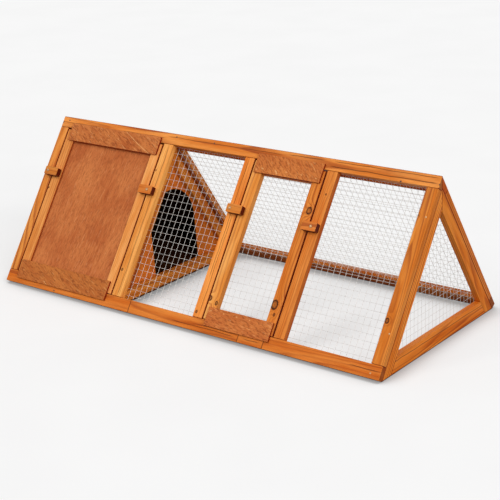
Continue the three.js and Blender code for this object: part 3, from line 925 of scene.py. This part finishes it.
def crevice_finder():
    """A function that tells how much of a seam's stain a face of a node has, and how much painted
    shade it gets in gaps, below steps or beside another board.
    """
    corners, triangles, owners = [], [], []
    for name, item in NODES.items():
        if name.endswith(("_mesh", "_screw")):
            continue
        first = len(corners)
        corners.extend(vertex.co for vertex in item.data.vertices)
        for face in item.data.polygons:
            triangles.append([first + index for index in face.vertices])
            owners.append(name)
    tree = BVHTree.FromPolygons(corners, triangles)

    def near(place, reach, node):
        hits = tree.find_nearest_range(place, reach)
        return any(owners[index] != node for _, _, index, _ in hits)

    def beside(place, node):
        """Whether another board lies beside this place rather than behind it."""
        for spot, _, index, away in tree.find_nearest_range(place, EDGE_REACH):
            if owners[index] != node and abs((spot - place).dot(FRONT.out)) < away / 2:
                return node.endswith(("_stile", "_rail")) and not node.startswith("back_")
        return False

    def depth(mesh, face, node, is_arris):
        if is_arris:
            if near(face.center, SEAM_REACH, node):
                return SEAM_TONE, 0.0
            return 0.0, EDGE_TONE if beside(face.center, node) else 0.0
        start = face.center + face.normal * SEAM_REACH / 4
        hit = tree.ray_cast(start, face.normal, GAP_REACH)
        if hit[0] is not None and owners[hit[2]] != node:
            return 0.0, GAP_TONE
        longest = max(
            (mesh.vertices[one].co - mesh.vertices[two].co).length for one, two in face.edge_keys
        )
        narrow = face.area < longest * STEP_REACH * 2
        return 0.0, STEP_TONE if narrow and near(face.center, STEP_REACH, node) else 0.0

    return depth


crevice_depth = crevice_finder()


def mark_faces(mesh, node, along):
    """Marks cut ends and the painted shade under the buttons, faces in seams, the painted shade
    in gaps, below steps and on one side of some stiles, and the painted shade of faces that look
    into the sleeping area.
    """
    for name in FACE_MASKS:
        mesh.attributes.new(name, "FLOAT", "FACE")
    # Looked up only now, because each new one moves those before it.
    cut_end_and_shade, inside, crevice, gap = (mesh.attributes[name].data for name in FACE_MASKS)
    arris = mesh.attributes["arris"].data
    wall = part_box("partition_panel")[1][0]
    middle = Vector(((CAD_BOUNDS[0][0] + wall) / 2, 0, CAD_BOUNDS[1][2] / 3))
    for index, face in enumerate(mesh.polygons):
        # Painted shade: a button's underside gets the dark cut-end colour.
        shaded_underside = node.endswith("_button") and face.normal.dot(FRONT.up) < -SQUARELY
        cut_end_and_shade[index].value = float(shaded_underside or abs(face.normal.dot(along)) > SQUARELY)
        seam, narrow = crevice_depth(mesh, face, node, arris[index].value > 0.5)
        # Painted shade on the side of these stiles that faces the right end.
        if face.normal.dot(RIDGE) > SQUARELY:
            narrow = max(narrow, SIDE_SHADE.get(node, 0.0))
        crevice[index].value = seam
        gap[index].value = narrow
        # Painted shade on the faces that look into the sleeping area.
        toward = (middle - face.center).normalized()
        behind = max(side.lift_of(face.center) for side in (FRONT, BACK)) < -BOARD * 0.45
        looks_in = face.center[0] < wall - BOARD / 8 and face.normal.dot(toward) > INWARDS
        inside[index].value = float(behind and looks_in and narrow < GAP_TONE)


def settle(piece, body, slot, *nodes):
    """Puts a piece on its body and hides the nodes it stands for; slot is not used."""
    if nodes:
        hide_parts(*nodes)
    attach(piece, body)


def body_of_node(node):
    return NODES[node]["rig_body"]


def make_board(node, settings):
    piece = link(f"{node}_timber", rounded_copy(node, settings.board_edge, 3))
    kind, centre = mark_grain(piece.data, node)
    piece.data.materials.append(pine_material(node, kind, centre, settings))
    settle(piece, body_of_node(node), "board", node)


def make_sheet(settings, node, slot, lean=0.0, pores=0.3, flecks=0.1):
    piece = link(f"{node}_sheet", rounded_copy(node, settings.ply_edge, 2))
    mark_grain(piece.data, node)
    piece.data.materials.append(plywood_material(node, settings, lean, pores, flecks))
    settle(piece, body_of_node(node), slot, node)


# ---------------------------------------------------------------- welded mesh

WIRE_SIDES, WIRE_CUTS = 6, 24
# Edges shorter than this many wire diameters are left straight.
STRAIGHT_UNDER = 6
STRAY_SCALE = 22
# How many diameters the level wires lie behind the upright ones, and how far these lie
# behind the node's outer face.
LEVEL_BEHIND, MESH_BEHIND = 0.9, 0.6 * MM


def mottled_metal(name, low, high, metallic, roughness, grain, limits=(0.35, 0.65)):
    """Metal that goes in patches from one colour to another."""
    material = new_material(name)
    tree = material.node_tree
    patch = cloud(tree, object_place(tree), (grain, grain, grain), 3.0)
    share = between(tree, patch, *limits)
    shader = {
        "Base Color": mix_colour(tree, share, low, high),
        "Metallic": metallic,
        "Roughness": spread(tree, patch, *roughness),
    }
    feed(tree, tree.nodes["Principled BSDF"], shader)
    return material


def spans_inside(outline, axis, value):
    """Where the line at value on one axis of a convex outline starts and stops."""
    hits = []
    for index, first in enumerate(outline):
        second = outline[(index + 1) % len(outline)]
        low, high = first[axis], second[axis]
        if (low - value) * (high - value) < 0:
            share = (value - low) / (high - low)
            other = 1 - axis
            hits.append(first[other] + (second[other] - first[other]) * share)
    return (min(hits), max(hits)) if len(hits) == 2 else None


def lay_wires(bm, outline, axis, pitch, lift, matrix, radius):
    """Straight wires at every pitch across one axis of the outline, in its plane."""
    low = min(point[axis] for point in outline)
    high = max(point[axis] for point in outline)
    count = int((high - low) / pitch)
    first = (low + high - count * pitch) / 2
    turn = Matrix.Rotation(math.pi / 2, 4, "Y" if axis == 1 else "X")
    form = {"cap_ends": True, "segments": WIRE_SIDES, "radius1": radius, "radius2": radius}
    for index in range(count + 1):
        value = min(max(first + index * pitch, low + radius), high - radius)
        span = spans_inside(outline, axis, value)
        if span is None or span[1] - span[0] < 4 * radius:
            continue
        middle = [0.0, 0.0, lift]
        middle[axis] = value
        middle[1 - axis] = (span[0] + span[1]) / 2
        place = matrix @ Matrix.Translation(middle) @ turn
        bmesh.ops.create_cone(bm, depth=span[1] - span[0], matrix=place, **form)


def stray(bm, settings):
    """Bends every wire a little, the same way where two of them are welded."""
    shortest = STRAIGHT_UNDER * settings.wire
    long = [edge for edge in bm.edges if edge.calc_length() > shortest]
    bmesh.ops.subdivide_edges(bm, edges=long, cuts=WIRE_CUTS)
    for vertex in bm.verts:
        vertex.co += noise.noise_vector(vertex.co * STRAY_SCALE) * settings.wander


def make_wires(node, settings, material):
    """Fine welded mesh in the plane of a node, in place of its coarse grid."""
    bm = bmesh.new()
    matrix, outline = plane_of(node)
    behind = -settings.wire * LEVEL_BEHIND
    lay_wires(bm, outline, 0, settings.pitch_along, 0.0, matrix, settings.wire / 2)
    lay_wires(bm, outline, 1, settings.pitch_up, behind, matrix, settings.wire / 2)
    stray(bm, settings)
    piece = link(f"{node}_wires", bm, material)
    piece.data.shade_smooth()
    settle(piece, body_of_node(node), "wire", node)


def plane_of(node):
    """The plane of a flat node's outer face and the node's outline in it."""
    side = side_of(node)
    at_end = node.startswith("right_end")
    origin = Vector() if at_end else side.origin
    right, up = (ACROSS, UPWARD) if at_end else (RIDGE, side.up)
    out = right.cross(up)
    points = [vertex.co - origin for vertex in NODES[node].data.vertices]
    lift = max(point.dot(out) for point in points)
    matrix = facing(origin + out * (lift - MESH_BEHIND), right, up)
    across, upward = ([point.dot(axis) for point in points] for axis in (right, up))
    first, last, low, high = min(across), max(across), min(upward), max(upward)
    if at_end:
        return matrix, [(first, low), (last, low), ((first + last) / 2, high)]
    return matrix, [(first, low), (last, low), (last, high), (first, high)]


# ---------------------------------------------------------------- small metal

# Nail heads seen on the front, in millimetres on the front side as (x, s).
BRIGHT_NAILS = [(581, 105), (581, 377), (565, 11)]
SUNK_NAILS = [(-182, 468), (-58, 467), (-567, 467), (-587, 460), (492, 448.5), (-410, 5)]
# Across and height of the one in the right end of the ridge.
END_NAIL = (-12 * MM, 386 * MM)
# A nail head's radius, how far it stands proud and its top's share of its width.
NAIL_RADIUS, NAIL_PROUD, NAIL_TOP = 2.1 * MM, 0.35 * MM, 0.8


def add_nail(bm, plane):
    """A flat round nail head, just proud of the wood in the plane's origin."""
    made = bmesh.ops.create_circle(
        bm, cap_ends=True, cap_tris=False, segments=12, radius=NAIL_RADIUS, matrix=plane
    )
    rim = list({edge for vertex in made["verts"] for edge in vertex.link_edges})
    raised = bmesh.ops.extrude_edge_only(bm, edges=rim)
    upper = [item for item in raised["geom"] if isinstance(item, bmesh.types.BMVert)]
    raise_by = plane.col[2].to_3d() * NAIL_PROUD
    bmesh.ops.translate(bm, verts=upper, vec=raise_by)
    space = Matrix.Translation(-plane.translation - raise_by)
    bmesh.ops.scale(bm, verts=upper, vec=(NAIL_TOP,) * 3, space=space)
    bmesh.ops.contextual_create(bm, geom=upper)


def small_metal(name, colour, metallic, roughness):
    """Small plated metal, dulled in patches."""
    rough = (roughness, roughness + 0.2)
    dull = dimmed(colour, 0.6)
    return mottled_metal(name, opaque(colour), dull, metallic, rough, 420.0, (0.35, 0.7))


# ---------------------------------------------------------------- operators

# Where the camera stands: degrees round, above and rolled, and metres from its target.
AZIMUTH, ELEVATION, ROLL = 38.28, 19.12, -2.21
TARGET, DISTANCE = Vector((0.0384, 0.0, 0.1281)), 3.299
FILM_WIDTH, CLIP_END = 36, 50
FLOOR_HALF = 6
# How near the run shades the floor, and the openness at which the shade is full.
SHADE_REACH, FULL_SHADE = 60 * MM, 0.35
KEY_FROM, FILL_FROM = (-0.3, -0.6, 0.74), (0.85, -0.35, 0.4)
LAMP_ANGLE = math.radians(35)
WHITE, BLACK = (1.0, 1.0, 1.0, 1.0), (0.0, 0.0, 0.0, 1.0)


def grey(tone):
    return opaque([tone] * 3)


def seen_rays(tree):
    """1 for the rays that show a surface or the background, 0 for those that light it."""
    rays = add_node(tree, "LightPath").outputs
    seen = calc(tree, "MAXIMUM", rays["Is Camera Ray"], rays["Is Glossy Ray"])
    return calc(tree, "MAXIMUM", seen, rays["Is Transmission Ray"])


class RABBITRUN_OT_stage(bpy.types.Operator):
    """Set the camera, the pale floor and the soft light"""

    bl_idname = "rabbit_run.stage"
    bl_label = "Stage"

    def execute(self, context):
        settings = context.scene.rabbit_run_stage
        self.add_camera(context, settings)
        self.add_floor(settings)
        self.add_light(context, settings)
        return {"FINISHED"}

    def add_camera(self, context, settings):
        azimuth, elevation, roll = map(math.radians, (AZIMUTH, ELEVATION, ROLL))
        back = Vector((
            math.sin(azimuth) * math.cos(elevation),
            -math.cos(azimuth) * math.cos(elevation),
            math.sin(elevation),
        ))
        right = UPWARD.cross(back).normalized()
        upright = back.cross(right)
        x_axis = right * math.cos(roll) + upright * math.sin(roll)
        y_axis = upright * math.cos(roll) - right * math.sin(roll)
        data = bpy.data.cameras.new("camera")
        data.lens = settings.lens
        data.sensor_width = FILM_WIDTH
        data.clip_end = CLIP_END
        camera = bpy.data.objects.new("camera", data)
        camera.matrix_world = facing(TARGET + back * DISTANCE, x_axis, y_axis)
        context.scene.collection.objects.link(camera)
        context.scene.camera = camera

    def add_floor(self, settings):
        material = new_material("pale_floor")
        tree = material.node_tree
        faint = spread(tree, cloud(tree, object_place(tree), (3.0, 3.0, 3.0)))
        white = mix_colour(tree, faint, dimmed(settings.floor, 0.985), opaque(settings.floor))
        near = add_node(tree, "AmbientOcclusion", {"Distance": SHADE_REACH})
        share = between(tree, near.outputs["AO"], FULL_SHADE, 1.0)
        shade = mix_colour(tree, share, grey(settings.contact_shade), WHITE)
        white = mix_colour(tree, 1.0, white, shade, "MULTIPLY")
        shaded = mix_colour(tree, settings.floor_glow, white, BLACK)
        seen = seen_rays(tree)
        shader = {
            "Base Color": mix_colour(tree, seen, grey(settings.floor_bounce), shaded),
            "Roughness": 0.9,
            "Specular IOR Level": 0.0,
            "Emission Color": white,
            "Emission Strength": times(tree, seen, settings.floor_glow),
        }
        feed(tree, tree.nodes["Principled BSDF"], shader)
        bm = bmesh.new()
        bmesh.ops.create_grid(bm, x_segments=1, y_segments=1, size=FLOOR_HALF)
        floor = link("floor_plane", bm, material)

    def add_light(self, context, settings):
        world = bpy.data.worlds.new("even_light")
        world.use_nodes = True
        tree = world.node_tree
        tree.nodes.clear()
        even, white = (
            add_node(tree, "Background", {"Color": WHITE, "Strength": strength})
            for strength in (settings.sky, 1.0)
        )
        shaders = {0: seen_rays(tree), 1: even.outputs[0], 2: white.outputs[0]}
        mix = add_node(tree, "MixShader", shaders)
        add_node(tree, "OutputWorld", {"Surface": mix.outputs[0]})
        context.scene.world = world
        for name, energy, direction in (
            ("key", settings.key, KEY_FROM),
            ("fill", settings.fill, FILL_FROM),
        ):
            data = bpy.data.lights.new(name, "SUN")
            data.energy = energy
            data.angle = LAMP_ANGLE
            lamp = bpy.data.objects.new(name, data)
            toward = Vector(direction).to_track_quat("Z", "Y")
            lamp.matrix_world = toward.to_matrix().to_4x4()
            context.scene.collection.objects.link(lamp)


def nodes_of(prefix, names):
    """The nodes of one assembly, from the rest of their names."""
    return tuple(f"{prefix}_{name}" for name in names.split())


END_BOARDS = "front_leg back_leg cross_rail"
DOOR_BOARDS = "left_stile right_stile top_rail bottom_rail"
BUTTONS = "left_button right_button"


class WoodOperator:
    """Shared work of the operators that make boards and sheets.

    A sheet is its node, its slot and, where they aren't the usual ones, the lean of its
    figure and the strength of its pores and its flecks.
    """

    boards = ()
    sheets = ()

    def execute(self, context):
        settings = context.scene.rabbit_run_wood
        for node in self.boards:
            make_board(node, settings)
        for sheet in self.sheets:
            make_sheet(settings, *sheet)
        return {"FINISHED"}


class RABBITRUN_OT_front_side(WoodOperator, bpy.types.Operator):
    """Make the rails and stiles of the front side"""

    bl_idname = "rabbit_run.front_side"
    bl_label = "Front side"
    boards = nodes_of(
        "front",
        "top_rail bottom_rail left_stile partition_stile middle_stile bay_stile right_stile",
    )


class RABBITRUN_OT_back_side(WoodOperator, bpy.types.Operator):
    """Make the boards of the back side and its plywood panel"""

    bl_idname = "rabbit_run.back_side"
    bl_label = "Back side"
    boards = nodes_of("back", "top_rail bottom_rail left_stile partition_stile right_stile")
    sheets = (("back_panel", "ply"),)


class RABBITRUN_OT_ends(WoodOperator, bpy.types.Operator):
    """Make the two end frames and the plywood of the left one"""

    bl_idname = "rabbit_run.ends"
    bl_label = "Ends"
    boards = nodes_of("left_end", END_BOARDS) + nodes_of("right_end", END_BOARDS)
    sheets = (("left_end_panel", "dark_ply"),)


class RABBITRUN_OT_partition(WoodOperator, bpy.types.Operator):
    """Make the partition with its doorway and the sleeping area's floor"""

    bl_idname = "rabbit_run.partition"
    bl_label = "Partition and floor"
    boards = nodes_of("partition", "front_batten back_batten bottom_batten") + nodes_of(
        "floor", "left_batten partition_batten"
    )
    sheets = (("partition_panel", "ply"), ("floor_panel", "dark_ply"))


class RABBITRUN_OT_house_door(WoodOperator, bpy.types.Operator):
    """Make the solid door of the sleeping area"""

    bl_idname = "rabbit_run.house_door"
    bl_label = "House door"
    boards = nodes_of("house_door", DOOR_BOARDS)
    sheets = (
        ("house_door_panel", "ply", -0.12, 0.45, 0.2),
        ("house_door_top_strip", "strip", 0.5, 0.7, 0.35),
        ("house_door_bottom_strip", "strip", 0.42, 0.7, 0.35),
    )


class RABBITRUN_OT_mesh_door(WoodOperator, bpy.types.Operator):
    """Make the boards and strips of the mesh door"""

    bl_idname = "rabbit_run.mesh_door"
    bl_label = "Mesh door"
    boards = nodes_of("mesh_door", DOOR_BOARDS)
    sheets = (
        ("mesh_door_top_strip", "strip", 0.7, 0.7, 0.35),
        ("mesh_door_bottom_strip", "strip", 0.2, 0.7, 0.35),
    )


class RABBITRUN_OT_buttons(WoodOperator, bpy.types.Operator):
    """Make the turn buttons and finish their screws"""

    bl_idname = "rabbit_run.buttons"
    bl_label = "Turn buttons"
    boards = nodes_of("house", BUTTONS) + nodes_of("mesh", BUTTONS)

    def execute(self, context):
        material = small_metal("plated_screw", context.scene.rabbit_run_wire.screw, 0.8, 0.35)
        for node in self.boards:
            screw = NODES[node.replace("_button", "_screw")]
            screw.data.materials.clear()
            screw.data.materials.append(material)
        return super().execute(context)


class RABBITRUN_OT_wires(bpy.types.Operator):
    """Weld the wire mesh of every bay, the mesh door and the right end"""

    bl_idname = "rabbit_run.wires"
    bl_label = "Wire mesh"

    def execute(self, context):
        settings = context.scene.rabbit_run_wire
        dull, bright = dimmed(settings.zinc, 0.8), opaque(settings.zinc)
        zinc = mottled_metal("galvanised_wire", dull, bright, 0.3, (0.45, 0.6), 140.0)
        for name in ("front_middle", "front_right", "mesh_door", "back", "right_end"):
            make_wires(f"{name}_mesh", settings, zinc)
        return {"FINISHED"}


class RABBITRUN_OT_nails(bpy.types.Operator):
    """Drive the nails that show on the front and on the right end"""

    bl_idname = "rabbit_run.nails"
    bl_label = "Nails"

    def execute(self, context):
        settings = context.scene.rabbit_run_wire
        in_end = facing(Vector((CAD_BOUNDS[1][0], *END_NAIL)), ACROSS, UPWARD)
        for name, spots, others, colour, metallic in (
            ("bright_nails", BRIGHT_NAILS, [], settings.nail, 0.3),
            # Sunk nails: rust and the painted shade of their holes.
            ("sunk_nails", SUNK_NAILS, [in_end], settings.rust_and_hole_shade, 0.0),
        ):
            bm = bmesh.new()
            in_front = [facing(FRONT.point(x, s), RIDGE, FRONT.up) for x, s in spots]
            for plane in in_front + others:
                add_nail(bm, plane)
            bmesh.ops.recalc_face_normals(bm, faces=bm.faces)
            piece = link(name, bm, small_metal(name, colour, metallic, 0.5))
            settle(piece, "frame", "screw")
        return {"FINISHED"}


STEPS = (
    RABBITRUN_OT_stage,
    RABBITRUN_OT_front_side,
    RABBITRUN_OT_back_side,
    RABBITRUN_OT_ends,
    RABBITRUN_OT_partition,
    RABBITRUN_OT_house_door,
    RABBITRUN_OT_mesh_door,
    RABBITRUN_OT_buttons,
    RABBITRUN_OT_wires,
    RABBITRUN_OT_nails,
)
SETTINGS = {
    "rabbit_run_wood": RabbitRunWood,
    "rabbit_run_wire": RabbitRunWire,
    "rabbit_run_stage": RabbitRunStage,
}


class RABBITRUN_PT_panel(bpy.types.Panel):
    """Lists the run's pieces and settings in the sidebar"""

    bl_label = "Rabbit Run"
    bl_idname = "RABBITRUN_PT_panel"
    bl_space_type = "VIEW_3D"
    bl_region_type = "UI"
    bl_category = "Rabbit Run"

    def draw(self, context):
        for step in STEPS:
            self.layout.operator(step.bl_idname)
        for name, group in SETTINGS.items():
            box = self.layout.box()
            for setting in group.__annotations__:
                box.prop(getattr(context.scene, name), setting)


def register():
    for group in SETTINGS.values():
        bpy.utils.register_class(group)
    for step in STEPS:
        bpy.utils.register_class(step)
    bpy.utils.register_class(RABBITRUN_PT_panel)
    for name, group in SETTINGS.items():
        setattr(bpy.types.Scene, name, bpy.props.PointerProperty(type=group))


def unregister():
    for name in SETTINGS:
        delattr(bpy.types.Scene, name)
    bpy.utils.unregister_class(RABBITRUN_PT_panel)
    for step in reversed(STEPS):
        bpy.utils.unregister_class(step)
    for group in reversed(SETTINGS.values()):
        bpy.utils.unregister_class(group)


def main():
    register()
    bpy.context.scene.view_settings.view_transform = "Standard"
    build_wood_groups()
    for step in STEPS:
        family, name = step.bl_idname.split(".")
        getattr(getattr(bpy.ops, family), name)()


if __name__ == "__main__":
    main()
